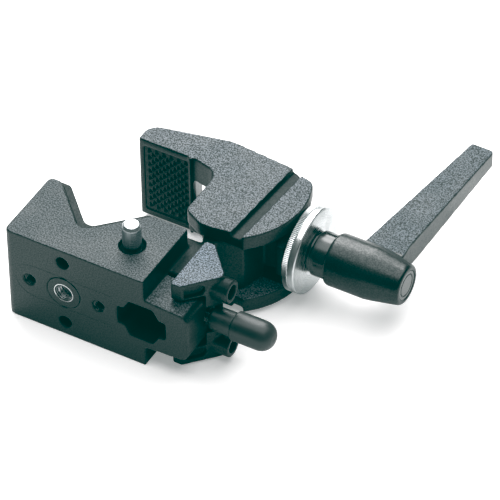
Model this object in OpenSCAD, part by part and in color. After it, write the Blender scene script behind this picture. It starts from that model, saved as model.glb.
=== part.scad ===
// Super clamp for lighting grip: a V jaw swings between two cheeks and is drawn tight by a lever screw.
// The origin is the centre of the stud socket's mouth. +Y runs from the front face to the fixed jaw,
// +X runs along the clamping screw to the lever, and Z is normal to the flat sides.

/* [Moving jaw] */
// Height of the V block, across its flat sides
block_h = 40; // [36:0.5:44]
// Depth of the V block, from the front face to its back
block_d = 31.4; // [30:0.2:32]
// Left side of the V block, from the socket's axis
block_left = 55.5; // [53:0.2:57]
// Distance from the socket's axis to the V's centre line
vee_x = 31.95; // [31:0.05:33]
// Depth left behind the V's sharp corner, at the flat sides
vee_floor = 12.65; // [11:0.05:15]
// Rise of the inner ledge above the V's outer edge
ledge_rise = 4.7; // [3:0.1:6]

/* [Stud socket] */
// Width across flats of the hex stud socket
socket_af = 16; // [15.8:0.1:16.4]
// Depth of the stud socket
socket_depth = 24; // [20:0.5:26]
// Length of the cross slot in the socket
slot_len = 19.3; // [18.8:0.1:19.6]
// Height of the cross slot in the socket
slot_h = 7.6; // [6:0.1:9]

/* [Fixed jaw] */
// Thickness of the fixed jaw
jaw_h = 36; // [34:0.5:38]
// Thickness of each cheek at its rim
cheek_t = 6; // [5:0.5:7]
// Thickness of each cheek around the pivot
pivot_cheek_t = 11; // [10.5:0.1:11.2]
// Radius of the cheeks' rim about the pivot
rim_r = 30.6; // [30:0.1:30.8]
// Width of the pad between the casting's edges
pad_w = 18.4; // [17:0.1:18.6]
// Height of the pad
pad_h = 30; // [28:0.5:31]

/* [Clamping screw and lever] */
// Radius of the clamping screw (M8)
screw_r = 3.95; // [3.9:0.01:3.97]
// Diameter of the two large washers
washer_d = 33; // [30:0.5:35]
// Radius of the lever's hub
hub_r = 9.9; // [9:0.1:10.5]
// Reach of the lever, from the screw's axis to the arm's tip
lever_reach = 74.8; // [60:0.5:80]

/* [Mounting holes] */
// Diameter of the circle of four small holes
hole_circle_d = 28.2; // [27:0.1:30]
// Radius of the four small holes
hole_r = 2.5; // [2:0.1:2.7]
// Radius of the centre thread (1/4 inch)
centre_thread_r = 3.175; // [3:0.005:3.3]

/* [Wedge insert] */
// Height of the wedge insert
wedge_h = 38; // [36:0.5:39]
// Radius of the lock knob
knob_r = 5.5; // [5.2:0.1:5.7]

/* [Hidden] */
$fn = 48;
eps = 0.01;
gap = 0.05;
far = 200;

// Pivot and screw axis
pivot_x = -0.4;
axis_y = 61.8;
half_block = block_h / 2;
half_jaw = jaw_h / 2;
cheek_in = half_jaw - cheek_t;
pivot_in = half_jaw - pivot_cheek_t;
neck_half = cheek_in - 0.2;
tenon_half = pivot_in - 0.2;
pivot_zone_r = 19.3;

// Socket boss beside the V block
block_right = 1.4;
boss_right = 18.7;
boss_d = 15.8;
boss_half_left = 11.6;
boss_half_right = 10.4;

// Barrel nut that carries the clamping screw and pivots in the cheeks
barrel_r = 7;
trunnion_r = 4.5;
trunnion_end = 14.4;
track_depth = 14.6;
nut_bore_r = screw_r + gap;

// Lock screw, which runs along +X into the socket
lock_y = 15.1;
lock_screw_r = 2.95;
lock_bore_r = lock_screw_r + gap;
lock_boss_r = 5.2;
collar_left = 20.6;
collar_right = 29.4;
collar_r = 4.5;
knob_end = 45.3;

// Safety latch pin, upright beside the socket
latch_x = -11.7;
latch_y = 14.9;
latch_r = 3.5;
latch_bore_r = latch_r + gap;
latch_top = 30;
latch_bottom = -5;
latch_waist_r = 1.8;
latch_waist_low = -0.8;
latch_waist_high = 8.6;
plug_top = -16.5;
plug_bottom = -19.6;

// Centre insert and the holes around it
mount_x = -31.6;
hole_depth = 10;
insert_r = 6.6;
insert_len = 10;

// Axial places along the clamping screw
rim_x = pivot_x + rim_r;
washer_x = rim_x + 0.15;
washer_t = 2.55;
plain_x = washer_x + washer_t + gap;
collar_x = plain_x + washer_t + gap;
sleeve_x = collar_x + 1.3;
hub_x = sleeve_x + 6.1;
spline_len = 4;
shoulder_x = hub_x + spline_len + gap;
chamber_x = shoulder_x + 7.8;
shank_end = chamber_x + 8;
hub_end = 72.3;
cap_x = 70.3;
shank_r = 4.35;
chamber_r = 5.6;
spline_r = 6.3;
spline_depth = 0.7;
spline_teeth = 24;
sleeve_r = 8.4;

// Wedge insert, stored against the socket boss
wedge_x = 9.1;
wedge_front = 5.3;
wedge_back = 30;
wedge_flat = 3.9;
nose_x = 24.3;
nose_y = 17.6;
peg_y = 17.3;
peg_z = 13;
peg_r = 4.4;
peg_end = 27.1;

// Points on an arc from angle a to angle b
function arc(cx, cy, r, a, b, n = 8) =
    [for (i = [0:n]) [cx + r * cos(a + (b - a) * i / n), cy + r * sin(a + (b - a) * i / n)]];

// Polygon corners rounded: each entry is [x, y, radius]
function unit(v) = v / norm(v);
function corner(p, q, s, r, n) =
    r < eps ? [q] :
    let (a = unit(p - q), b = unit(s - q), half = acos(a * b) / 2)
    let (d = r / tan(half), c = q + unit(a + b) * r / sin(half))
    let (f = q + a * d - c, g = q + b * d - c)
    let (t = atan2(f.x * g.y - f.y * g.x, f * g))
    [for (i = [0:n]) let (w = t * i / n)
        [c.x + f.x * cos(w) - f.y * sin(w), c.y + f.x * sin(w) + f.y * cos(w)]];
function xy(p) = [p.x, p.y];
function rounded(points, n = 6) =
    let (m = len(points))
    [for (i = [0:m - 1])
        each corner(xy(points[(i + m - 1) % m]), xy(points[i]), xy(points[(i + 1) % m]), points[i][2], n)];

// Prism along Z, centred on the mid plane
module slab(points, half) {
    translate([0, 0, -half])
        linear_extrude(2 * half)
            polygon(points);
}

// Cylinder along X from x to x + len
module rod_x(x, y, len, r, z = 0) {
    translate([x, y, z])
        rotate([0, 90, 0])
            cylinder(h = len, r = r);
}

// Blind hole along +Y from the front face
module hole_y(x, z, r, depth) {
    translate([x, -1, z])
        rotate([-90, 0, 0])
            cylinder(h = depth + 1, r = r);
}

// Spring along Z, as stacked rings
module spring_z(z0, len, r, wire, turns) {
    step = (len - 2 * wire) / turns;
    for (i = [0:turns])
        translate([0, 0, z0 + wire + i * step])
            rotate_extrude()
                translate([r, 0])
                    circle(r = wire, $fn = 16);
    for (i = [0:turns - 1], side = [0, 180])
        rotate([0, 0, side + 90 * (i % 2)])
            translate([r, 0, z0 + wire + i * step])
                cylinder(h = step, r = wire * 0.8, $fn = 16);
}

// Outline of the V block, with its horns and 45 degree flanks
vee_reach = block_d - vee_floor;
block_points = rounded([
    [-block_left, 0, 2.5],
    [block_right, 0, 0],
    [block_right, block_d, 0.8],
    [-vee_x + vee_reach, block_d, 1.2],
    [-vee_x, vee_floor, 4],
    [-vee_x - vee_reach, block_d, 1.2],
    [-block_left, block_d, 2.2]
]);

// Ledge inside the V, lower than the block's flat sides
ledge_half = 17.6;
ledge_d = 33.2;
ledge_floor = vee_floor + ledge_rise;
ledge_reach = ledge_d - ledge_floor;
ledge_points = rounded([
    [-block_left + 1.6, vee_floor, 0],
    [-vee_x + vee_reach + 0.8, vee_floor, 0],
    [-vee_x + vee_reach + 0.8, ledge_d, 1.4],
    [-vee_x + ledge_reach, ledge_d, 1.2],
    [-vee_x, ledge_floor, 3.5],
    [-vee_x - ledge_reach, ledge_d, 1.2],
    [-block_left + 1.6, ledge_d, 1.8]
]);

// Socket boss seen from the front
boss_points = rounded([
    [block_right - 2, -boss_half_left, 0],
    [boss_right, -boss_half_right, 3.5],
    [boss_right, boss_half_right, 3.5],
    [block_right - 2, boss_half_left, 0]
]);

// Neck at full height, between block and pivot
neck_points = [
    [-8, block_d - 3], [-8, 35.2], [4.4, 35.4], [0.6, 43], [6, 50], [19.3, 53.6],
    [16.5, 43.4], [8.3, 37.6], [8.3, 19.5], [6.6, 17], [-2, 17]
];

// Thin tenon around the pivot, with the flange that faces the washers
guide_half_w = 11.3;
guide_x = 28.6;
tenon_points = [
    [4.6, 36], [0.6, 43], [-1.4, 48], [-6, 55.4], [-4, 68], [4, 70], [25.2, 70], [25.2, axis_y + guide_half_w],
    [guide_x, axis_y + guide_half_w], [guide_x, axis_y - guide_half_w], [25.2, axis_y - guide_half_w],
    [25.2, 53.4], [19.3, 53], [16.5, 43.4], [8.3, 37.6]
];

module moving_jaw() {
    color("#2b2f30") difference() {
        union() {
            slab(block_points, half_block);
            slab(ledge_points, ledge_half);
            // Round boss around the lock screw's thread
            rod_x(block_right - 1, lock_y, boss_right - block_right + 1, lock_boss_r);
            translate([0, boss_d, 0])
                rotate([90, 0, 0])
                    linear_extrude(boss_d)
                        polygon(boss_points);
            difference() {
                slab(neck_points, neck_half);
                translate([pivot_x, axis_y, 0])
                    cylinder(h = far, r = pivot_zone_r + 0.4, center = true, $fn = 96);
            }
            slab(tenon_points, tenon_half);
            translate([pivot_x, axis_y, 0])
                cylinder(h = 2 * tenon_half, r = 10, center = true, $fn = 64);
        }
        stud_socket();
        latch_bore();
        // Lock screw's thread, from the boss's end into the socket
        rod_x(0, lock_y, far, lock_bore_r);
        // Centre insert's pocket and the circle of four holes
        hole_y(mount_x, 0, insert_r, insert_len);
        for (a = [0:90:270])
            hole_y(mount_x + hole_circle_d / 2 * cos(a), hole_circle_d / 2 * sin(a), hole_r, hole_depth);
        // Barrel nut's seat and the clamping screw's passage
        translate([pivot_x, axis_y, 0])
            cylinder(h = far, r = barrel_r, center = true);
        rod_x(-30, axis_y, 100, screw_r + 0.45);
    }
}

// Hexagonal stud socket with its cross slot, open at the front face
module stud_socket() {
    translate([0, socket_depth, 0])
        rotate([90, 0, 0])
            cylinder(h = socket_depth + 1, r = socket_af / sqrt(3), $fn = 6);
    translate([-slot_len / 2, -1, -slot_h / 2])
        cube([slot_len, socket_depth + 1, slot_h]);
}

// Stepped bore for the latch pin, its spring and its plug
module latch_bore() {
    translate([latch_x, latch_y, -half_block - 1])
        cylinder(h = block_h + 2, r = latch_bore_r);
    translate([latch_x, latch_y, half_block - 2])
        cylinder(h = 3, r = 4.65);
}

// Outline of the cheeks, with the pocket beside the pad
cheek_points = rounded(concat(
    [
        [-39.8, 66.2, 0.6], [-39.8, 74.4, 5.6], [-9, 81.2, 6], [18.6, 78.9, 0.8],
        [21.8, 76.9, 0.8], [26.9, 75.8, 3.5]
    ],
    [for (p = arc(pivot_x, axis_y, rim_r, 14, -50, 26)) [p.x, p.y, 0]],
    [
        [13, 38.8, 5], [3, 37.2, 10], [-5.8, 41.8, 3], [-5.8, 63.7, 5.9],
        [-17, 66.5, 1.2], [-17.6, 65, 0.5], [-18.6, 65, 0.5], [-18.8, 66.2, 0]
    ]
));

// Part of the cheek's outline that is solid through, behind the pad
pad_block_points = [[-60, 50], [-17.2, 50], [-17.2, 68], [-21.2, 79.6], [-21.2, 90], [-60, 90]];

pad_x = -37.6;
pad_front = 65.9;
pad_back = 69.4;

// Inner bosses around the pivot, with tracks that let the trunnions in from the open side
boss_left = -19;
track_angle = 50;

// Back web between the cheeks
web_half_w = 7.5;
web_y = 75;
web_t = 4;

module fixed_jaw() {
    color("#2b2f30") difference() {
        union() {
            for (side = [-1, 1]) {
                translate([0, 0, side > 0 ? cheek_in : -half_jaw])
                    linear_extrude(cheek_t)
                        polygon(cheek_points);
                translate([0, 0, side > 0 ? pivot_in : -half_jaw + eps])
                    linear_extrude(pivot_cheek_t - eps)
                        intersection() {
                            polygon(cheek_points);
                            translate([pivot_x, axis_y])
                                circle(r = pivot_zone_r, $fn = 96);
                            translate([boss_left, 0])
                                square([60, 120]);
                        }
            }
            translate([0, 0, -cheek_in - eps])
                linear_extrude(2 * (cheek_in + eps))
                    intersection() {
                        polygon(cheek_points);
                        polygon(pad_block_points);
                    }
            translate([-web_half_w, web_y, -cheek_in - eps])
                cube([2 * web_half_w, web_t, 2 * (cheek_in + eps)]);
        }
        // Tracks for the trunnions
        for (side = [0, 1])
            mirror([0, 0, side]) {
                translate([pivot_x, axis_y, 0])
                    cylinder(h = track_depth, r = trunnion_r + gap);
                translate([pivot_x, axis_y, 0])
                    rotate([0, 0, track_angle])
                        translate([-far / 8, -trunnion_r - gap, 0])
                            cube([far / 8, 2 * (trunnion_r + gap), track_depth]);
                // Groove across the outside of the cheek
                translate([18, axis_y, half_jaw - 1.8])
                    rotate([0, 0, -4])
                        translate([-2.2, -far / 2, 0])
                            cube([4.4, far, 5]);
            }
        // Recess for the pad
        translate([pad_x, 60, -pad_h / 2])
            cube([pad_w, pad_back - 60, pad_h]);
    }
}

module jaw_pad() {
    color("#1b1d1d")
        translate([pad_x, pad_front, -pad_h / 2])
            cube([pad_w, pad_back - pad_front, pad_h]);
}

module barrel_nut() {
    color("#8e9092") difference() {
        translate([pivot_x, axis_y, 0]) {
            cylinder(h = 2 * tenon_half, r = barrel_r, center = true);
            cylinder(h = 2 * trunnion_end, r = trunnion_r, center = true);
        }
        rod_x(-20, axis_y, 40, nut_bore_r);
    }
}

module centre_insert() {
    color("#2b2f30") difference() {
        translate([mount_x, 0, 0])
            rotate([-90, 0, 0])
                cylinder(h = insert_len, r = insert_r);
        hole_y(mount_x, 0, centre_thread_r, far);
    }
}

module latch_pin() {
    color("#c9cccf")
        translate([latch_x, latch_y, 0])
            rotate_extrude()
                polygon([
                    [0, latch_bottom], [latch_r - 0.5, latch_bottom], [latch_r, latch_bottom + 0.5],
                    [latch_r, latch_waist_low], [latch_waist_r, latch_waist_low],
                    [latch_waist_r, latch_waist_high], [latch_r, latch_waist_high],
                    [latch_r, latch_top - 1.1], [latch_r - 0.8, latch_top], [0, latch_top]
                ]);
}

module latch_spring() {
    color("#a8abad")
        translate([latch_x, latch_y, 0])
            spring_z(plug_top, latch_bottom - plug_top, 2.7, 0.35, 5);
}

module latch_plug() {
    color("#3a3d3e")
        translate([latch_x, latch_y, plug_bottom])
            cylinder(h = plug_top - plug_bottom, r = latch_bore_r);
}

module lock_screw() {
    color("#9a9d9f")
        rod_x(8.9, lock_y, collar_right + 6 - 8.9, lock_screw_r);
}

module lock_collar() {
    color("#232626") difference() {
        translate([collar_left, lock_y, 0])
            rotate([0, 90, 0])
                rotate_extrude()
                    polygon([
                        [0, 0], [collar_r - 0.5, 0], [collar_r, 0.5],
                        [collar_r, collar_right - collar_left - 0.3], [collar_r - 0.3, collar_right - collar_left],
                        [0, collar_right - collar_left]
                    ]);
        rod_x(0, lock_y, far, lock_bore_r);
    }
}

// Bullet-shaped knob: a cylinder with a domed end
module lock_knob() {
    dome = 6;
    body_len = knob_end - collar_right - gap - dome;
    color("#1d2020") difference() {
        translate([collar_right + gap, lock_y, 0])
            rotate([0, 90, 0])
                rotate_extrude()
                    polygon(concat(
                        [[0, 0], [knob_r - 0.4, 0], [knob_r, 0.4]],
                        [for (i = [0:12]) [knob_r * sqrt(1 - pow(i / 12, 2.4)), body_len + dome * i / 12]]
                    ));
        rod_x(0, lock_y, collar_right + 6, lock_screw_r);
    }
}

// Outline of the wedge: flat against the boss, its nose pointing away
wedge_points = rounded([
    [wedge_x, wedge_front, 0.8],
    [wedge_x + wedge_flat, wedge_front, 0.8],
    [nose_x, nose_y, 2.6],
    [wedge_x + wedge_flat, wedge_back, 1.5],
    [wedge_x, wedge_back, 0.8]
]);

module wedge_insert() {
    notch_half = boss_half_left + 0.2;
    slot_half = 5.9;
    peg_root = nose_x - 4;
    flank_angle = atan2(nose_y - wedge_front, nose_x - wedge_x - wedge_flat);
    recess_start = 1.7;
    recess_len = 7.5;
    recess_r = 2.3;
    recess_deep = 2;
    color("#2b2f30") difference() {
        union() {
            slab(wedge_points, wedge_h / 2);
            // Tubular pegs on the nose
            for (side = [-1, 1])
                rod_x(peg_root, peg_y, peg_end - peg_root, peg_r, side * peg_z);
        }
        // Notch over the socket boss
        translate([wedge_x - 10, -20, -notch_half])
            cube([10 + boss_right + 0.4 - wedge_x, 20 + boss_d + 0.4, 2 * notch_half]);
        // Slot for the lock screw and knob
        translate([wedge_x - 10, -20, -slot_half])
            cube([60, 20 + lock_y + slot_half, 2 * slot_half]);
        for (side = [-1, 1]) {
            // Sockets in the pegs
            rod_x(peg_end - 5, peg_y, 20, 2.7, side * peg_z);
            // Recess in the front flank, round at its nose end
            translate([wedge_x + wedge_flat, wedge_front, side * 14.9])
                rotate([0, 0, flank_angle]) {
                    translate([recess_start, -recess_deep, -recess_r])
                        cube([recess_len - recess_r, 2 * recess_deep, 2 * recess_r]);
                    translate([recess_start + recess_len - recess_r, -recess_deep, 0])
                        rotate([-90, 0, 0])
                            cylinder(h = 2 * recess_deep, r = recess_r);
                }
        }
    }
}

module clamp_screw() {
    color("#8e9092")
        rod_x(-10, axis_y, hub_x - 0.8 + 10, screw_r);
}

// Washer that bears on the cheeks' rim
module knurled_washer() {
    color("#cfd2d4") difference() {
        translate([washer_x, axis_y, 0])
            rotate([0, 90, 0])
                cylinder(h = washer_t, r = washer_d / 2, $fn = 96);
        rod_x(0, axis_y, 100, screw_r + gap);
    }
}

module plain_washer() {
    color("#dfe2e4") difference() {
        translate([plain_x, axis_y, 0])
            rotate([0, 90, 0])
                rotate_extrude($fn = 96)
                    polygon([
                        [0, 0], [washer_d / 2, 0], [washer_d / 2, washer_t - 0.4],
                        [washer_d / 2 - 0.4, washer_t], [0, washer_t]
                    ]);
        rod_x(0, axis_y, 100, screw_r + gap);
    }
}

module thrust_collar() {
    color("#1d2020") difference() {
        translate([collar_x, axis_y, 0])
            rotate([0, 90, 0])
                rotate_extrude()
                    polygon([
                        [0, 0], [7.4, 0], [7.7, 0.3], [7.7, 1], [7.4, 1.3 - gap], [0, 1.3 - gap]
                    ]);
        rod_x(0, axis_y, 100, screw_r + gap);
    }
}

// Spline section: teeth as a polygon about the origin
module spline_section(r, depth) {
    polygon([for (i = [0:spline_teeth - 1], k = [0:3])
        let (a = 360 / spline_teeth * (i + [0, 0.2, 0.5, 0.7][k]), q = k < 2 ? r : r - depth)
        [q * cos(a), q * sin(a)]]);
}

module splined_insert() {
    color("#1d2020") difference() {
        union() {
            translate([sleeve_x, axis_y, 0])
                rotate([0, 90, 0])
                    rotate_extrude()
                        polygon([
                            [0, 0], [sleeve_r - 0.4, 0], [sleeve_r, 0.4], [sleeve_r, hub_x - sleeve_x - gap],
                            [0, hub_x - sleeve_x - gap]
                        ]);
            translate([hub_x - gap - eps, axis_y, 0])
                rotate([0, 90, 0])
                    linear_extrude(spline_len)
                        spline_section(spline_r, spline_depth);
            rod_x(hub_x, axis_y, shank_end - hub_x, shank_r);
        }
        // Bore for the clamping screw, and the retaining screw's thread in the end
        rod_x(0, axis_y, hub_x - 0.8, screw_r);
        rod_x(shank_end - 9, axis_y, 20, 2);
    }
}

// Lever arm: a tapered bar from the hub to its tip
arm_tip_y = axis_y + lever_reach;
arm_plan = rounded([
    [49.8, axis_y + 2, 0], [51, 72, 0], [58.8, arm_tip_y, 1.2], [68.1, arm_tip_y - 0.2, 1.6],
    [66.1, 75, 0], [66.9, 68, 0], [69, axis_y + 2, 0]
]);
arm_side = [
    [axis_y, -5.6], [arm_tip_y + 1, -3.2], [arm_tip_y + 1, 3.2], [axis_y, 5.6]
];

module lever_handle() {
    color("#2b2f30") difference() {
        union() {
            translate([hub_x, axis_y, 0])
                rotate([0, 90, 0])
                    rotate_extrude($fn = 64)
                        polygon([
                            [0, 0], [hub_r - 1.2, 0], [hub_r - 0.4, 0.3], [hub_r, 1.1], [hub_r, 15.5],
                            [hub_r - 0.5, 19], [7.7, 28.4], [7, hub_end - hub_x], [0, hub_end - hub_x]
                        ]);
            intersection() {
                slab(arm_plan, 10);
                translate([40, 0, 0])
                    rotate([90, 0, 90])
                        linear_extrude(40)
                            polygon(arm_side);
            }
        }
        // Splined bore, sliding bore, spring chamber and cap seat
        translate([hub_x - 1, axis_y, 0])
            rotate([0, 90, 0])
                linear_extrude(shoulder_x - hub_x + 1)
                    spline_section(spline_r + 0.1, spline_depth);
        rod_x(shoulder_x - 1, axis_y, 20, shank_r + gap);
        rod_x(chamber_x, axis_y, 30, chamber_r);
    }
}

module lever_spring() {
    color("#a8abad")
        translate([chamber_x, axis_y, 0])
            rotate([0, 90, 0])
                spring_z(0, shank_end - chamber_x, 4.97, 0.35, 5);
}

module lever_screw() {
    color("#9a9d9f") {
        rod_x(shank_end - 8, axis_y, 8 + eps, 2);
        difference() {
            rod_x(shank_end, axis_y, 2.6, 5.3);
            translate([shank_end + 1.2, axis_y, 0])
                rotate([0, 90, 0])
                    cylinder(h = 5, r = 2.3, $fn = 6);
        }
    }
}

module hub_cap() {
    color("#3a3d3e") difference() {
        rod_x(cap_x, axis_y, 1.7, chamber_r);
        // Ring groove on the outer face
        translate([cap_x + 1.3, axis_y, 0])
            rotate([0, 90, 0])
                rotate_extrude()
                    polygon([[4, 0], [4.4, 0], [4.4, 1], [4, 1]]);
    }
}

fixed_jaw();
jaw_pad();
moving_jaw();
barrel_nut();
centre_insert();
latch_pin();
latch_spring();
latch_plug();
lock_screw();
lock_collar();
lock_knob();
wedge_insert();
clamp_screw();
knurled_washer();
plain_washer();
thrust_collar();
splined_insert();
lever_handle();
lever_spring();
lever_screw();
hub_cap();
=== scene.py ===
"""Looks of the super clamp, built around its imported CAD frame. Lengths are in metres."""

import math

import bmesh
import bpy
from mathutils import Matrix, Vector


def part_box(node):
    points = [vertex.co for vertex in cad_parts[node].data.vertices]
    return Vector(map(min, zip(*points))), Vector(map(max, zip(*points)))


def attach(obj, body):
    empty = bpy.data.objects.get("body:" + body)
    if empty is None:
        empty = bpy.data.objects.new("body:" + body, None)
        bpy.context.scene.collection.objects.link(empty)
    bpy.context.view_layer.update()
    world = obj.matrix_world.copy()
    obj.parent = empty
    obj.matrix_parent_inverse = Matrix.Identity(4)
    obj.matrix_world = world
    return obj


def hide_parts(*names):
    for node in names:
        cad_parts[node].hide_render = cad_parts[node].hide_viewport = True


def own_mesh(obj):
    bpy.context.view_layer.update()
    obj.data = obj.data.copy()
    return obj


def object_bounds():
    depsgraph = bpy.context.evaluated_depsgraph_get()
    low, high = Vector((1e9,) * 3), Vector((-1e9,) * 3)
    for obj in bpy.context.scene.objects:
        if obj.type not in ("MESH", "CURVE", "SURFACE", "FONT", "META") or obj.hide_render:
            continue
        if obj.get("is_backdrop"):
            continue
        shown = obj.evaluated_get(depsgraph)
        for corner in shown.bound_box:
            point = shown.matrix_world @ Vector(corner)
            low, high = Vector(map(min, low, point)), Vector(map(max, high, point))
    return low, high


MM = 0.001

# Camera: direction, roll and distance, and its aim from the centre of the object's box
CAMERA_AZIMUTH = 30.314
CAMERA_ELEVATION = 43.012
CAMERA_ROLL = -0.919
CAMERA_DISTANCE = 1587.78 * MM
CAMERA_LENS = 324
AIM_FROM_CENTRE = Vector((9.77, -23.12, 1.31)) * MM

# Rounding of the CAD nodes' edges: size of the voxels they are remeshed in, and smoothing passes
ROUNDING = {
    "fixed_jaw": (0.4 * MM, 11), "moving_jaw": (0.4 * MM, 12), "wedge_insert": (0.3 * MM, 10),
    "lever_handle": (0.32 * MM, 12), "centre_insert": (0.22 * MM, 1), "latch_pin": (0.18 * MM, 2),
    "lock_collar": (0.18 * MM, 2), "lock_knob": (0.18 * MM, 3), "plain_washer": (0.22 * MM, 2),
    "thrust_collar": (0.16 * MM, 1), "splined_insert": (0.2 * MM, 2), "hub_cap": (0.13 * MM, 1),
    "lever_screw": (0.2 * MM, 1), "latch_plug": (0.2 * MM, 1), "barrel_nut": (0.25 * MM, 2),
}
KEPT_SHARE = 0.4

# Diamond pattern of the pad
PAD_COLUMNS = 6
PAD_ROWS = 9
PAD_MARGIN = 0.15 * MM
PAD_RELIEF = 0.8 * MM
DIAMOND_SHARE = 0.497
DIAMOND_TIP = 0.1

# Threads: pitch and depth
SCREW_PITCH = 1.25 * MM
SCREW_THREAD = 0.6 * MM
LOCK_PITCH = 1.0 * MM
SMALL_PITCH = 0.8 * MM
CENTRE_PITCH = 1.27 * MM

# Knurled washer
KNURL_TEETH = 150
KNURL_DEPTH = 0.28 * MM

# Colours, linear
WALL_BLACK = (0.008, 0.009, 0.009, 1)
KNOB_BLACK = (0.015, 0.016, 0.016, 1)
# The flats' greys are painted sheen: the coat is black, and its sand-grained tops are painted grey where
# light glances off them. The cheeks' flats are lighter than the block's.
BLOCK_SHEEN_GREY = (0.03, 0.036, 0.041, 1)
CHEEK_SHEEN_GREY = (0.057, 0.065, 0.075, 1)
LEVER_SHEEN_GREY = (0.04, 0.049, 0.058, 1)
WORN_GREY = (0.12, 0.14, 0.145, 1)
RUBBER_BLACK = (0.009, 0.01, 0.01, 1)
# The wedge's top grey is painted sheen as well; its walls stay black
WEDGE_SHEEN_GREY = (0.072, 0.09, 0.114, 1)
ZINC = (0.62, 0.645, 0.65, 1)
CHROME = (0.42, 0.45, 0.46, 1)
STEEL = (0.36, 0.37, 0.38, 1)
SPRING_GREY = (0.22, 0.23, 0.23, 1)
FLOOR_WHITE = (0.92, 0.92, 0.92, 1)
FLOOR_LIFT = 0.3

# How strongly black walls and sandy flats reflect, and how rough the flats are
WALL_GLOSS = 0.3
FLAT_GLOSS = 0.45
FLAT_ROUGHNESS = 0.6

# Width over which edges are worn lighter, on castings, turned parts and rubber
CAST_EDGE = 0.45 * MM
TURNED_EDGE = 0.3 * MM
RUBBER_EDGE = 0.25 * MM

# Sandy flats that carry the painted sheen: height from the mid plane, and the limits that keep them off the
# walls. Flats left out keep the wall black as painted shade.
FAR = 1.0
BOSS_FLAT_HEIGHT = 10.9 * MM
BOSS_FLAT_LEFT = 1.5 * MM
BOSS_FLAT_BACK = 16.2 * MM
RIGHT_FLAT_HEIGHT = 6.8 * MM
RIGHT_FLAT_LEFT = 24 * MM
CHEEK_INSIDE_HEIGHT = 12 * MM
CHEEK_INSIDE_LEFT = 6 * MM
CHEEK_INSIDE_BACK = 52 * MM
ARM_FLAT_HEIGHTS = (3.4 * MM, 4.2 * MM, 5.0 * MM)

# Springs: wire radius and turns
SPRING_WIRE = 0.35 * MM
LATCH_TURNS = 6
LEVER_TURNS = 5

# Holes of the front face
HOLE_CIRCLE = 14.1 * MM
HOLE_RADIUS = 2.5 * MM
HOLE_THREAD_LENGTH = 8 * MM
HOLE_THREAD_DEPTH = 0.4 * MM
CENTRE_BORE = 3.175 * MM
CENTRE_THREAD_LENGTH = 9 * MM
CENTRE_THREAD_DEPTH = 0.55 * MM
THREAD_WALL = 0.3 * MM
THREAD_GAP = 0.02 * MM

# Mould lines: radius of the bead, the loop on the front face, and the lines on the cheeks
MOULD_BEAD = 0.07 * MM
LOOP_HALF = 7.2 * MM
LOOP_LEFT = -44.2 * MM
LOOP_RIGHT = -12 * MM
LOOP_STEPS = 16
CHEEK_LINES = (("inner", 0.0 * MM, 14.6 * MM, 64.8 * MM), ("outer", 20.2 * MM, 29.6 * MM, 61.6 * MM))

# Studio: half width of the floor, softboxes as direction, distance, size and power, and the world
FLOOR_SPAN = 6.0
BACK_SOFTBOX = ((-0.37, 0.63, 0.68), 1.3, 1.0, 25)
TOP_SOFTBOX = ((0.0, 0.1, 1.0), 1.2, 1.6, 27)
WORLD_SEEN = (0.95, 0.95, 0.95, 1)
WORLD_FILL = 0.12

# Black level of the picture: it makes dark tones lean to green, as in a printed catalogue
GRADE_BLACK = (0.016, -0.014, -0.012)

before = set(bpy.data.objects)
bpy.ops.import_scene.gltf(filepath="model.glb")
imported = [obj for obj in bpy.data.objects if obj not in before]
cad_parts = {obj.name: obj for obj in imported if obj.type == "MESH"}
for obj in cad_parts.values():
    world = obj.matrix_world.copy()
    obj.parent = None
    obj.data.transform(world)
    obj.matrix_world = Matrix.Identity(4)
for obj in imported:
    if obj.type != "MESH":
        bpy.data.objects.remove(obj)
cad_box = [list(corner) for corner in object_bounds()]


# ---------------------------------------------------------------- materials

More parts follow.
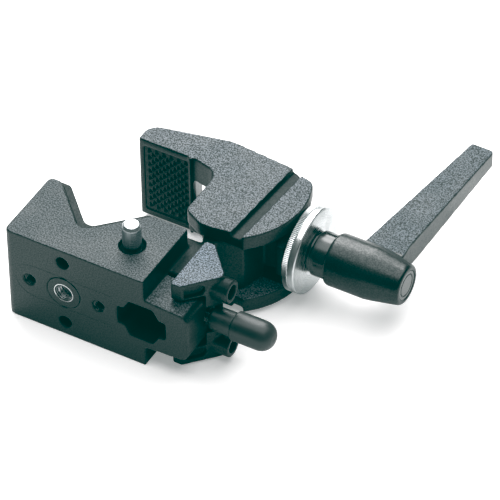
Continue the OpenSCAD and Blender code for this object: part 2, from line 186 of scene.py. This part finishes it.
class Shader:
    """A node material, built up by adding nodes and linking their sockets."""

    def __init__(self, name):
        self.material = bpy.data.materials.new(name)
        self.material.use_nodes = True
        self.tree = self.material.node_tree
        self.tree.nodes.clear()
        self.coords = self.node("TexCoord")

    def node(self, kind, settings=None, **inputs):
        made = self.tree.nodes.new("ShaderNode" + kind)
        for key, value in (settings or {}).items():
            setattr(made, key, value)
        for key, value in inputs.items():
            self.feed(made.inputs[key.replace("_", " ")], value)
        return made

    def feed(self, socket, value):
        if isinstance(value, bpy.types.NodeSocket):
            self.tree.links.new(value, socket)
        else:
            socket.default_value = value

    def math(self, operation, *values):
        made = self.node("Math", {"operation": operation, "use_clamp": False})
        for socket, value in zip(made.inputs, values):
            self.feed(socket, value)
        return made.outputs[0]

    def remap(self, value, low, high, out_low=0.0, out_high=1.0):
        return self.node(
            "MapRange", {"interpolation_type": "SMOOTHSTEP"},
            Value=value, From_Min=low, From_Max=high, To_Min=out_low, To_Max=out_high,
        ).outputs[0]

    def mix(self, share, first, second):
        made = self.node("Mix", {"data_type": "RGBA"})
        for socket, value in zip((made.inputs[0], made.inputs[6], made.inputs[7]), (share, first, second)):
            self.feed(socket, value)
        return made.outputs[2]

    def scaled(self, colour, share):
        """A colour made lighter or darker by a share."""
        made = self.node("Mix", {"data_type": "RGBA", "blend_type": "MULTIPLY"})
        grey = self.node("CombineColor", Red=share, Green=share, Blue=share).outputs[0]
        for socket, value in zip((made.inputs[0], made.inputs[6], made.inputs[7]), (1.0, colour, grey)):
            self.feed(socket, value)
        return made.outputs[2]

    def noise(self, scale, detail=2.0, roughness=0.5, vector=None):
        return self.node(
            "TexNoise", Vector=vector or self.coords.outputs["Object"],
            Scale=scale, Detail=detail, Roughness=roughness,
        ).outputs[0]

    def cells(self, scale):
        return self.node("TexVoronoi", Vector=self.coords.outputs["Object"], Scale=scale).outputs[0]

    def flats(self, height, limits=()):
        """1 on faces square to Z at a height from the mid plane, between limits of (axis, low, high)."""
        split = self.node("SeparateXYZ", Vector=self.coords.outputs["Normal"])
        mask = self.remap(self.math("ABSOLUTE", split.outputs[2]), 0.8, 0.96)
        level = self.math("ABSOLUTE", self.math("SUBTRACT", self.math("ABSOLUTE", self.position(2)), height))
        mask = self.math("MULTIPLY", mask, self.remap(level, 1.0 * MM, 0.5 * MM))
        for axis, low, high in limits:
            inside = self.math("MULTIPLY", self.remap(self.position(axis), low, low + 0.3 * MM),
                               self.remap(self.position(axis), high + 0.3 * MM, high))
            mask = self.math("MULTIPLY", mask, inside)
        return mask

    def position(self, axis):
        return self.node("SeparateXYZ", Vector=self.coords.outputs["Object"]).outputs[axis]

    def edges(self, width):
        """1 along edges, from how far a rounded normal leans away from the face's own."""
        rounded = self.node("Bevel", {"samples": 6}, Radius=width).outputs[0]
        plain = self.node("NewGeometry").outputs["Normal"]
        lean = self.node("VectorMath", {"operation": "DOT_PRODUCT"})
        self.feed(lean.inputs[0], rounded)
        self.feed(lean.inputs[1], plain)
        return self.remap(lean.outputs["Value"], 0.985, 0.8)

    def bump(self, height, distance, strength=1.0, normal=None):
        made = self.node("Bump", Height=height, Distance=distance, Strength=strength)
        if normal:
            self.feed(made.inputs["Normal"], normal)
        return made.outputs[0]

    def finish(self, **inputs):
        surface = self.node("BsdfPrincipled", **inputs)
        output = self.node("OutputMaterial")
        self.tree.links.new(surface.outputs[0], output.inputs[0])
        return self.material


def casting(name, sheen_colour, regions, grain=1900, wall_roughness=0.36, gloss=WALL_GLOSS, upward_gloss=-0.7,
            gloss_fade=None):
    """Coated casting: sand-grained flats in the given regions painted grey as painted sheen, smoother black
    walls, and edges worn lighter.

    upward_gloss is the share by which walls that face up are glossier: below 0 it dulls them as painted shade
    in the hollows, above 0 it brightens them as a painted highlight. gloss_fade is (from y, to y, gloss
    there, gloss here) for a gloss that changes along Y.
    """
    s = Shader(name)
    flats = s.flats(*regions[0])
    for region in regions[1:]:
        flats = s.math("MAXIMUM", flats, s.flats(*region))
    facing = s.node("SeparateXYZ", Vector=s.coords.outputs["Normal"]).outputs[2]
    upward = s.remap(s.math("ABSOLUTE", facing), 0.5, 0.9)
    # upward-facing walls off the flats, whose gloss upward_gloss changes: painted shade in hollows, painted
    # highlight on the lever's hub top
    recessed = s.math("MULTIPLY", upward, s.math("SUBTRACT", 1.0, flats))
    sand = s.noise(grain, 2, 0.6)
    specks = s.cells(grain * 0.8)
    clouds = s.noise(55, 2)
    speckle = s.math("ADD", s.remap(sand, 0.36, 0.64, 0.0, 2.0), s.remap(specks, 0.0, 0.5, 0.4, -0.25))
    # painted sheen: the flats' grey, speckled by the real sand grain
    flat = s.scaled(sheen_colour, s.math("MULTIPLY", speckle, s.remap(clouds, 0.3, 0.7, 0.92, 1.08)))
    wall = s.scaled(WALL_BLACK, s.remap(clouds, 0.3, 0.7, 0.75, 1.25))
    colour = s.mix(flats, wall, flat)
    wear = s.math("MULTIPLY", s.edges(CAST_EDGE), s.remap(s.noise(420, 3), 0.42, 0.62, 0.0, 0.5))
    colour = s.mix(wear, colour, WORN_GREY)
    orange_peel = s.noise(700, 2)
    height_map = s.math(
        "ADD", s.math("MULTIPLY", sand, s.remap(flats, 0, 1, 0.1, 1.0)),
        s.math("MULTIPLY", orange_peel, 0.35),
    )
    mottling = s.remap(clouds, 0.3, 0.7, -0.04, 0.06)
    roughness = s.math("ADD", s.remap(flats, 0, 1, wall_roughness, FLAT_ROUGHNESS), mottling)
    if gloss_fade:
        gloss = s.remap(s.position(1), *gloss_fade)
    extra = s.math("MULTIPLY", recessed, s.math("MULTIPLY", gloss, upward_gloss))
    shine = s.math("ADD", s.remap(flats, 0, 1, gloss, FLAT_GLOSS), extra)
    shine = s.math("MULTIPLY", shine, s.remap(sand, 0.36, 0.64, 0.65, 1.35))
    return s.finish(
        Base_Color=colour, Roughness=roughness, Specular_IOR_Level=shine,
        Normal=s.bump(height_map, 0.15 * MM, 0.8),
    )


def rubber(name):
    s = Shader(name)
    grain = s.noise(1800, 3)
    dust = s.remap(s.noise(120, 3), 0.35, 0.75, 0.7, 1.6)
    wear = s.math("MULTIPLY", s.edges(RUBBER_EDGE), 0.35)
    return s.finish(
        Base_Color=s.mix(wear, s.scaled(RUBBER_BLACK, dust), WORN_GREY),
        Roughness=s.remap(grain, 0.3, 0.7, 0.4, 0.55), Specular_IOR_Level=0.22,
        Normal=s.bump(grain, 0.04 * MM, 0.6),
    )


def turned_rings(s, centre, scale, along=0):
    """Fine rings, as a lathe leaves them, about an axis along X (0) or Z (2) through centre."""
    across = [axis for axis in (0, 1, 2) if axis != along]
    squares = []
    for axis, middle in zip(across, centre):
        offset = s.math("SUBTRACT", s.position(axis), middle)
        squares.append(s.math("MULTIPLY", offset, offset))
    radius = s.math("SQRT", s.math("ADD", *squares))
    return s.noise(scale, 2, 0.5, s.node("CombineXYZ", X=s.position(along), Y=radius, Z=0.0).outputs[0])


def metal(name, colour, roughness, centre=(0.0, 0.0), ring_scale=2600, stain=0.12, along=0):
    """Bare or plated metal with lathe rings, faint stains and brighter edges."""
    s = Shader(name)
    rings = turned_rings(s, centre, ring_scale, along)
    stains = s.noise(160, 4)
    shade = s.remap(stains, 0.3, 0.75, 1.0, 1.0 - stain)
    return s.finish(
        Base_Color=s.scaled(colour, shade), Metallic=1.0,
        Roughness=s.math("ADD", s.remap(rings, 0.3, 0.7, roughness - 0.06, roughness + 0.06),
                         s.remap(stains, 0.3, 0.75, 0.0, 0.12)),
        Normal=s.bump(rings, 0.01 * MM, 0.5),
    )


def black_finish(name, roughness, centre, ring_scale=1500, colour=WALL_BLACK, gloss=WALL_GLOSS):
    """Blackened steel or black plastic: satin, with a trace of turning or moulding marks."""
    s = Shader(name)
    rings = turned_rings(s, centre, ring_scale)
    smudges = s.noise(130, 4)
    peel = s.noise(900, 2)
    wear = s.math("MULTIPLY", s.edges(TURNED_EDGE), s.remap(s.noise(500, 3), 0.45, 0.65, 0.0, 0.45))
    height = s.math("ADD", s.math("MULTIPLY", rings, 0.25), peel)
    return s.finish(
        Base_Color=s.mix(wear, s.scaled(colour, s.remap(smudges, 0.3, 0.7, 0.8, 1.3)), WORN_GREY),
        Roughness=s.remap(smudges, 0.3, 0.7, roughness - 0.05, roughness + 0.09),
        Specular_IOR_Level=gloss, Normal=s.bump(height, 0.02 * MM, 0.6),
    )


def floor_material():
    """White paper, a little lighter to the camera than to the object, so that shadows stay faint."""
    s = Shader("floor_paper")
    grain = s.noise(30, 3)
    seen = s.node("LightPath").outputs["Is Camera Ray"]
    return s.finish(
        Base_Color=s.scaled(FLOOR_WHITE, s.remap(grain, 0.3, 0.7, 0.99, 1.0)), Roughness=0.9,
        Specular_IOR_Level=0.1, Normal=s.bump(grain, 0.1 * MM, 0.1),
        Emission_Color=(1, 1, 1, 1), Emission_Strength=s.math("MULTIPLY", seen, FLOOR_LIFT),
    )


screw_low, screw_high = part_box("clamp_screw")
SCREW_AXIS = ((screw_low.y + screw_high.y) / 2, (screw_low.z + screw_high.z) / 2)
lock_low, lock_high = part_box("lock_screw")
LOCK_AXIS = ((lock_low.y + lock_high.y) / 2, (lock_low.z + lock_high.z) / 2)
pin_low, pin_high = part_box("latch_pin")
PIN_AXIS = ((pin_low.x + pin_high.x) / 2, (pin_low.y + pin_high.y) / 2)
hub_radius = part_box("lever_handle")[1].z
block_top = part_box("moving_jaw")[1].z
cheek_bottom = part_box("fixed_jaw")[0].z
cheek_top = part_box("fixed_jaw")[1].z
wedge_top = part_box("wedge_insert")[1].z

# Sandy flats of each casting, which carry the painted sheen: height from the mid plane, then limits of (axis,
# low, high). Flats left out, in the hollows, keep the wall black as painted shade.
BLOCK_FLATS = [
    (block_top, []),
    (BOSS_FLAT_HEIGHT, [(0, BOSS_FLAT_LEFT, FAR), (1, -FAR, BOSS_FLAT_BACK)]),
    (RIGHT_FLAT_HEIGHT, [(0, RIGHT_FLAT_LEFT, FAR)]),
]
CHEEK_FLATS = [
    (cheek_top, []),
    (CHEEK_INSIDE_HEIGHT, [(0, CHEEK_INSIDE_LEFT, FAR), (1, -FAR, CHEEK_INSIDE_BACK)]),
]
ARM_START = SCREW_AXIS[0] + hub_radius * 0.8
LEVER_FLATS = [(height, [(1, ARM_START, FAR)]) for height in ARM_FLAT_HEIGHTS]

# The lever's gloss grows along Y from its hub to its arm: (from y, to y, hub's gloss, arm's gloss). The hub's
# low gloss is painted shade on the hub's lower half.
LEVER_GLOSS = (SCREW_AXIS[0] + hub_radius, SCREW_AXIS[0] + 1.5 * hub_radius, 0.28, 0.6)

MATERIALS = {
    "cast_black": casting("cast_black", BLOCK_SHEEN_GREY, BLOCK_FLATS),
    "cast_black_cheeks": casting("cast_black_cheeks", CHEEK_SHEEN_GREY, CHEEK_FLATS),
    "pad_rubber": rubber("pad_rubber"),
    "zinc_bright": metal("zinc_bright", ZINC, 0.24, SCREW_AXIS),
    "chrome_pin": metal("chrome_pin", CHROME, 0.26, PIN_AXIS, along=2),
    "steel": metal("steel", STEEL, 0.3, LOCK_AXIS),
    "spring_steel": metal("spring_steel", SPRING_GREY, 0.35),
    "black_steel": black_finish("black_steel", 0.16, SCREW_AXIS, gloss=0.6),
    "knob_plastic": black_finish("knob_plastic", 0.4, LOCK_AXIS, colour=KNOB_BLACK, gloss=0.4),
    "wedge_plastic": casting("wedge_plastic", WEDGE_SHEEN_GREY, [(wedge_top, [])], wall_roughness=0.42),
    # upward_gloss=0.5 brightens the hub's top as a painted highlight
    "lever_black": casting("lever_black", LEVER_SHEEN_GREY, LEVER_FLATS, wall_roughness=0.3, upward_gloss=0.5,
                           gloss_fade=LEVER_GLOSS),
}


# ---------------------------------------------------------------- mesh helpers

def piece(name, points, faces, body, slot, *replaced):
    """A new mesh piece that rides on a body and stands for the named CAD nodes."""
    mesh = bpy.data.meshes.new(name)
    mesh.from_pydata(points, [], faces)
    tidy = bmesh.new()
    tidy.from_mesh(mesh)
    bmesh.ops.remove_doubles(tidy, verts=tidy.verts, dist=1e-7)
    bmesh.ops.recalc_face_normals(tidy, faces=tidy.faces)
    tidy.to_mesh(mesh)
    tidy.free()
    made = bpy.data.objects.new(name, mesh)
    bpy.context.scene.collection.objects.link(made)
    mesh.materials.append(MATERIALS[slot])
    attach(made, body)
    if replaced:
        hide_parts(*replaced)
    return made


def smooth(made, angle=35):
    """Smooth shading that keeps edges sharper than the angle."""
    made.data.shade_smooth()
    made.data.set_sharp_from_angle(angle=math.radians(angle))
    return made


def soften(node, voxel, passes):
    """Rounds a CAD node's edges: remeshed in small voxels, smoothed, then thinned out."""
    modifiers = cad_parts[node].modifiers
    grid = modifiers.new("grid", "REMESH")
    grid.mode = "VOXEL"
    grid.voxel_size = voxel
    grid.use_smooth_shade = True
    rounding = modifiers.new("rounding", "SMOOTH")
    rounding.factor = 0.5
    rounding.iterations = passes
    thinning = modifiers.new("thinning", "DECIMATE")
    thinning.ratio = KEPT_SHARE


AXES = {
    "x": Matrix(((0, 0, 1), (1, 0, 0), (0, 1, 0))),
    "y": Matrix(((0, 1, 0), (0, 0, 1), (1, 0, 0))),
    "z": Matrix(((1, 0, 0), (0, 1, 0), (0, 0, 1))),
}


def around(axis, centre, radius, angle, along):
    """A point at a radius and angle about an axis through centre."""
    local = Vector((radius * math.cos(angle), radius * math.sin(angle), along))
    return Vector(centre) + AXES[axis] @ local


def grid_faces(rows, columns, start=0, wrap=True):
    """Quads between the rows of a grid of points, joined round its columns."""
    faces = []
    for i in range(rows - 1):
        for j in range(columns if wrap else columns - 1):
            a, b = start + i * columns + j, start + i * columns + (j + 1) % columns
            faces.append((a, b, b + columns, a + columns))
    return faces


def turned_ring(axis, centre, profile, count, ripple):
    """Points and faces of a closed ring: profile holds (along, radius, share of the ripple)."""
    loop = list(profile) + [profile[0]]
    points = []
    for along, radius, share in loop:
        for j in range(count):
            angle = 2 * math.pi * j / count
            points.append(around(axis, centre, radius + share * ripple(angle), angle, along))
    return points, grid_faces(len(loop), count)


def thread_wave(along, angle, pitch):
    """Height of a thread, 0 in its root and 1 at its crest."""
    phase = (along / pitch - angle / (2 * math.pi)) % 1.0
    return min(1.0, max(0.0, 1.6 * (0.5 - abs(phase - 0.5)) * 2 - 0.3))


def threaded_rod(axis, centre, length, radius, pitch, depth, steps=32, plain_from=None):
    """Points and faces of a threaded rod with closed ends and a plain part after plain_from."""
    rows = int(length / pitch * 8) + 1
    points = []
    for i in range(rows):
        along = length * i / (rows - 1)
        fade = min(1.0, along / pitch, (length - along) / pitch)
        for j in range(steps):
            angle = 2 * math.pi * j / steps
            height = thread_wave(along, angle, pitch)
            if plain_from is not None and along > plain_from:
                height = 1.0
            points.append(around(axis, centre, radius - depth * (1 - height * max(fade, 0.2)), angle, along))
    faces = grid_faces(rows, steps)
    faces.append(tuple(range(steps)))
    faces.append(tuple(range((rows - 1) * steps, rows * steps)))
    return points, faces


def threaded_sleeve(axis, centre, length, radius, pitch, depth, wall, steps=32):
    """Points and faces of a short nut thread: a closed tube whose bore is threaded."""
    rows = int(length / pitch * 8) + 1
    points = []
    for i in range(rows):
        along = length * i / (rows - 1)
        fade = min(1.0, along / pitch)
        for j in range(steps):
            angle = 2 * math.pi * j / steps
            points.append(
                around(axis, centre, radius - depth * fade * thread_wave(along, angle, pitch), angle, along)
            )
    outer = len(points)
    for along in (0.0, length):
        for j in range(steps):
            points.append(around(axis, centre, radius + wall, 2 * math.pi * j / steps, along))
    faces = grid_faces(rows, steps) + grid_faces(2, steps, outer)
    for j in range(steps):
        k = (j + 1) % steps
        faces.append((j, k, outer + k, outer + j))
        last = (rows - 1) * steps
        faces.append((last + j, last + k, outer + steps + k, outer + steps + j))
    return points, faces


def coil(axis, centre, length, radius, wire, turns, steps=28, sides=10):
    """Points and faces of a coil spring with a flat turn at each end."""
    total = turns + 2
    path = []
    for i in range(total * steps + 1):
        turn = i / steps
        rise = min(max(turn - 1, 0), turns) / turns
        path.append(around(axis, centre, radius, 2 * math.pi * turn, wire + (length - 2 * wire) * rise))
    points = []
    for i, here in enumerate(path):
        ahead = path[min(i + 1, len(path) - 1)] - path[max(i - 1, 0)]
        ahead.normalize()
        out = (here - Vector(centre))
        out -= (AXES[axis] @ Vector((0, 0, 1))) * (AXES[axis] @ Vector((0, 0, 1))).dot(out)
        out = (out - ahead * ahead.dot(out)).normalized()
        side = ahead.cross(out)
        for j in range(sides):
            turn = 2 * math.pi * j / sides
            points.append(here + wire * (math.cos(turn) * out + math.sin(turn) * side))
    faces = grid_faces(len(path), sides)
    faces.append(tuple(range(sides)))
    faces.append(tuple(range((len(path) - 1) * sides, len(path) * sides)))
    return points, faces


def bead(path, radius, closed=False, sides=6):
    """Points and faces of a fine round bead along a path."""
    points = []
    count = len(path)
    for i, here in enumerate(path):
        before = path[i - 1] if closed or i else path[0]
        after = path[(i + 1) % count] if closed or i < count - 1 else path[-1]
        ahead = (after - before).normalized()
        out = ahead.cross(Vector((0, 0, 1)) if abs(ahead.z) < 0.9 else Vector((1, 0, 0))).normalized()
        side = ahead.cross(out)
        for j in range(sides):
            turn = 2 * math.pi * j / sides
            points.append(here + radius * (math.cos(turn) * out + math.sin(turn) * side))
    faces = grid_faces(count, sides)
    if closed:
        last = (count - 1) * sides
        faces += [(last + j, last + (j + 1) % sides, (j + 1) % sides, j) for j in range(sides)]
    else:
        faces += [tuple(range(sides)), tuple(range((count - 1) * sides, count * sides))]
    return points, faces


# ---------------------------------------------------------------- castings and turned parts

for node, (voxel, passes) in ROUNDING.items():
    soften(node, voxel, passes)

SLOTS = {
    "fixed_jaw": "cast_black_cheeks", "moving_jaw": "cast_black", "centre_insert": "cast_black",
    "wedge_insert": "wedge_plastic", "lever_handle": "lever_black", "latch_pin": "chrome_pin",
    "latch_plug": "black_steel", "lock_collar": "knob_plastic", "lock_knob": "knob_plastic",
    "plain_washer": "zinc_bright", "thrust_collar": "black_steel", "splined_insert": "black_steel",
    "hub_cap": "black_steel", "lever_screw": "steel", "barrel_nut": "steel",
}
for node, slot in SLOTS.items():
    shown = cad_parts[node]
    shown.data.materials.clear()
    shown.data.materials.append(MATERIALS[slot])


# ---------------------------------------------------------------- pad with a diamond tread

def diamond_pad():
    """A pad whose face is cut into rows of blunt pyramids, inside a plain margin."""
    low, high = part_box("jaw_pad")
    face = low.y + PAD_RELIEF
    left, right = low.x + PAD_MARGIN, high.x - PAD_MARGIN
    bottom, top = low.z + PAD_MARGIN, high.z - PAD_MARGIN
    wide, tall = (right - left) / PAD_COLUMNS, (top - bottom) / PAD_ROWS
    corners = [(x, y, z) for x in (low.x, high.x) for y in (face, high.y) for z in (low.z, high.z)]
    points = [Vector(c) for c in corners]
    faces = [(0, 1, 3, 2), (4, 6, 7, 5), (0, 4, 5, 1), (2, 3, 7, 6), (0, 2, 6, 4), (1, 5, 7, 3)]
    foot = face + 0.05 * MM
    for row in range(2 * PAD_ROWS + 1):
        for column in range(PAD_COLUMNS + 1):
            x = left + wide * (column + 0.5 * (row % 2))
            z = bottom + tall * row / 2
            half_x, half_z = wide * DIAMOND_SHARE, tall * DIAMOND_SHARE
            in_width = left <= x - half_x and x + half_x <= right
            in_height = bottom <= z - half_z and z + half_z <= top
            if not (in_width and in_height):
                continue
            start = len(points)
            for y, share in ((foot, 1.0), (low.y, DIAMOND_TIP)):
                points += [Vector((x + dx * half_x * share, y, z + dz * half_z * share))
                           for dx, dz in ((1, 0), (0, 1), (-1, 0), (0, -1))]
            faces += [(start + i, start + (i + 1) % 4, start + 4 + (i + 1) % 4, start + 4 + i)
                      for i in range(4)]
            faces += [tuple(start + i for i in range(4)), tuple(start + 4 + i for i in range(4))]
    return piece("jaw_pad_tread", points, faces, "frame", "pad_rubber", "jaw_pad")


diamond_pad()


# ---------------------------------------------------------------- washer with a knurled rim

def knurled_washer():
    """A washer whose rim is knurled between two small bevels."""
    low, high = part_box("knurled_washer")
    rim = high.z
    thick = high.x - low.x
    bore = (screw_high.y - screw_low.y) / 2 + 0.05 * MM
    bevel = 0.35 * MM
    shoulder = rim - 0.5 * MM
    face = rim - 1.2 * MM
    profile = [
        (0, bore, 0), (0, face, 0), (0, shoulder, 0), (bevel, rim, -1), (thick / 2, rim, -1),
        (thick - bevel, rim, -1), (thick, shoulder, 0), (thick, face, 0), (thick, bore, 0),
    ]

    def tooth(angle):
        return KNURL_DEPTH * (0.5 + 0.5 * math.cos(KNURL_TEETH * angle))

    centre = (low.x, SCREW_AXIS[0], SCREW_AXIS[1])
    made = piece("knurled_rim_washer", *turned_ring("x", centre, profile, KNURL_TEETH * 4, tooth),
                 "thrust", "zinc_bright", "knurled_washer")
    smooth(made)


knurled_washer()


# ---------------------------------------------------------------- threads

jaw_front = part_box("moving_jaw")[0].y
insert_low, insert_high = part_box("centre_insert")
insert_x = (insert_low.x + insert_high.x) / 2

smooth(piece(
    "centre_thread",
    *threaded_sleeve("y", (insert_x, jaw_front + 0.3 * MM, 0), CENTRE_THREAD_LENGTH, CENTRE_BORE - THREAD_GAP,
                     CENTRE_PITCH, CENTRE_THREAD_DEPTH, THREAD_WALL),
    "jaw", "steel"), 60)
smooth(piece(
    "centre_mouth",
    *turned_ring("y", (insert_x, jaw_front, 0),
                 [(-0.04 * MM, CENTRE_BORE + 0.75 * MM, 0), (-0.1 * MM, CENTRE_BORE + 0.55 * MM, 0),
                  (0.45 * MM, CENTRE_BORE - 0.1 * MM, 0), (0.5 * MM, CENTRE_BORE + 0.75 * MM, 0)],
                 48, lambda angle: 0.0),
    "jaw", "zinc_bright"), 40)
for side, name in ((-1, "left"), (1, "right")):
    smooth(piece(
        f"{name}_hole_thread",
        *threaded_sleeve("y", (insert_x + side * HOLE_CIRCLE, jaw_front + 0.4 * MM, 0), HOLE_THREAD_LENGTH,
                         HOLE_RADIUS - THREAD_GAP, SMALL_PITCH, HOLE_THREAD_DEPTH, THREAD_WALL),
        "jaw", "black_steel"), 60)

washer_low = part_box("knurled_washer")[0]
smooth(piece(
    "clamp_screw_thread",
    *threaded_rod("x", (screw_low.x, *SCREW_AXIS), screw_high.x - screw_low.x, screw_high.z, SCREW_PITCH,
                  SCREW_THREAD, plain_from=washer_low.x - screw_low.x - 2 * MM),
    "spindle", "steel", "clamp_screw"), 60)
smooth(piece(
    "lock_screw_thread",
    *threaded_rod("x", (lock_low.x, *LOCK_AXIS), lock_high.x - lock_low.x, lock_high.z, LOCK_PITCH, 0.5 * MM),
    "lock_knob", "black_steel", "lock_screw"), 60)


# ---------------------------------------------------------------- springs

spring_low, spring_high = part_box("latch_spring")
latch_centre = ((spring_low.x + spring_high.x) / 2, (spring_low.y + spring_high.y) / 2, spring_low.z)
latch_coil = smooth(piece(
    "latch_coil",
    *coil("z", latch_centre, spring_high.z - spring_low.z, (spring_high.x - spring_low.x) / 2 - SPRING_WIRE,
          SPRING_WIRE, LATCH_TURNS),
    "jaw", "spring_steel", "latch_spring"), 60)
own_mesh(latch_coil)

hub_spring_low, hub_spring_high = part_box("lever_spring")
lever_coil = smooth(piece(
    "lever_coil",
    *coil("x", (hub_spring_low.x, *SCREW_AXIS), hub_spring_high.x - hub_spring_low.x,
          (hub_spring_high.z - hub_spring_low.z) / 2 - SPRING_WIRE, SPRING_WIRE, LEVER_TURNS),
    "spindle", "spring_steel", "lever_spring"), 60)
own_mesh(lever_coil)


# ---------------------------------------------------------------- mould lines

def mould_lines():
    """The fine raised lines that the mould leaves on the front face and on the cheeks."""
    path = [Vector((LOOP_RIGHT, jaw_front, LOOP_HALF))]
    for i in range(LOOP_STEPS + 1):
        turn = math.radians(90 + 180 * i / LOOP_STEPS)
        path.append(Vector((LOOP_LEFT + LOOP_HALF * math.cos(turn), jaw_front, LOOP_HALF * math.sin(turn))))
    path.append(Vector((LOOP_RIGHT, jaw_front, -LOOP_HALF)))
    piece("front_mould_line", *bead(path, MOULD_BEAD), "jaw", "cast_black")
    for level, where in ((cheek_top, "top"), (cheek_bottom, "bottom")):
        for side, start, end, y in CHEEK_LINES:
            path = [Vector((start, y, level)), Vector((end, y, level))]
            piece(f"{side}_line_{where}", *bead(path, MOULD_BEAD), "frame", "black_steel")


mould_lines()


# ---------------------------------------------------------------- floor, light and camera

def studio():
    """A white floor, two softboxes, faint light from all round, and the picture's grade."""
    low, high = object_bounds()
    centre = (low + high) / 2
    floor_points = [Vector((centre.x + x * FLOOR_SPAN, centre.y + y * FLOOR_SPAN, low.z)) for x, y in
                    ((-1, -1), (1, -1), (1, 1), (-1, 1))]
    mesh = bpy.data.meshes.new("floor")
    mesh.from_pydata(floor_points, [], [(0, 1, 2, 3)])
    mesh.materials.append(floor_material())
    floor = bpy.data.objects.new("floor", mesh)
    bpy.context.scene.collection.objects.link(floor)
    floor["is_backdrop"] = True

    def softbox(name, direction, distance, size, power):
        light = bpy.data.lights.new(name, "AREA")
        light.shape = "SQUARE"
        light.size = size
        light.energy = power
        made = bpy.data.objects.new(name, light)
        bpy.context.scene.collection.objects.link(made)
        way = Vector(direction).normalized()
        made.location = centre + way * distance
        made.rotation_mode = "QUATERNION"
        made.rotation_quaternion = way.to_track_quat("Z", "Y")

    softbox("back_softbox", *BACK_SOFTBOX)
    softbox("top_softbox", *TOP_SOFTBOX)

    world = bpy.data.worlds.new("studio")
    bpy.context.scene.world = world
    world.use_nodes = True
    tree = world.node_tree
    tree.nodes.clear()
    seen = tree.nodes.new("ShaderNodeBackground")
    seen.inputs["Color"].default_value = WORLD_SEEN
    lit = tree.nodes.new("ShaderNodeBackground")
    lit.inputs["Color"].default_value = (1, 1, 1, 1)
    lit.inputs["Strength"].default_value = WORLD_FILL
    path = tree.nodes.new("ShaderNodeLightPath")
    mix = tree.nodes.new("ShaderNodeMixShader")
    output = tree.nodes.new("ShaderNodeOutputWorld")
    tree.links.new(path.outputs["Is Camera Ray"], mix.inputs[0])
    tree.links.new(lit.outputs[0], mix.inputs[1])
    tree.links.new(seen.outputs[0], mix.inputs[2])
    tree.links.new(mix.outputs[0], output.inputs[0])
    look = bpy.context.scene.view_settings
    look.view_transform = "Standard"
    look.use_curve_mapping = True
    look.curve_mapping.black_level = GRADE_BLACK


def camera():
    """The camera, turned about the centre of the CAD model's box."""
    centre = (Vector(cad_box[0]) + Vector(cad_box[1])) / 2
    azimuth, elevation, roll = map(math.radians, (CAMERA_AZIMUTH, CAMERA_ELEVATION, CAMERA_ROLL))
    back = Vector((math.sin(azimuth) * math.cos(elevation), -math.cos(azimuth) * math.cos(elevation),
                   math.sin(elevation)))
    level = Vector((math.cos(azimuth), math.sin(azimuth), 0))
    up = back.cross(level)
    right = math.cos(roll) * level + math.sin(roll) * up
    up = back.cross(right)
    lens = bpy.data.cameras.new("camera")
    lens.lens = CAMERA_LENS
    lens.sensor_width = 36
    lens.clip_start, lens.clip_end = 0.1, 20
    made = bpy.data.objects.new("camera", lens)
    bpy.context.scene.collection.objects.link(made)
    made.matrix_world = Matrix.Translation(centre + AIM_FROM_CENTRE + back * CAMERA_DISTANCE) @ Matrix(
        (right, up, back)).transposed().to_4x4()
    bpy.context.scene.camera = made


studio()
camera()
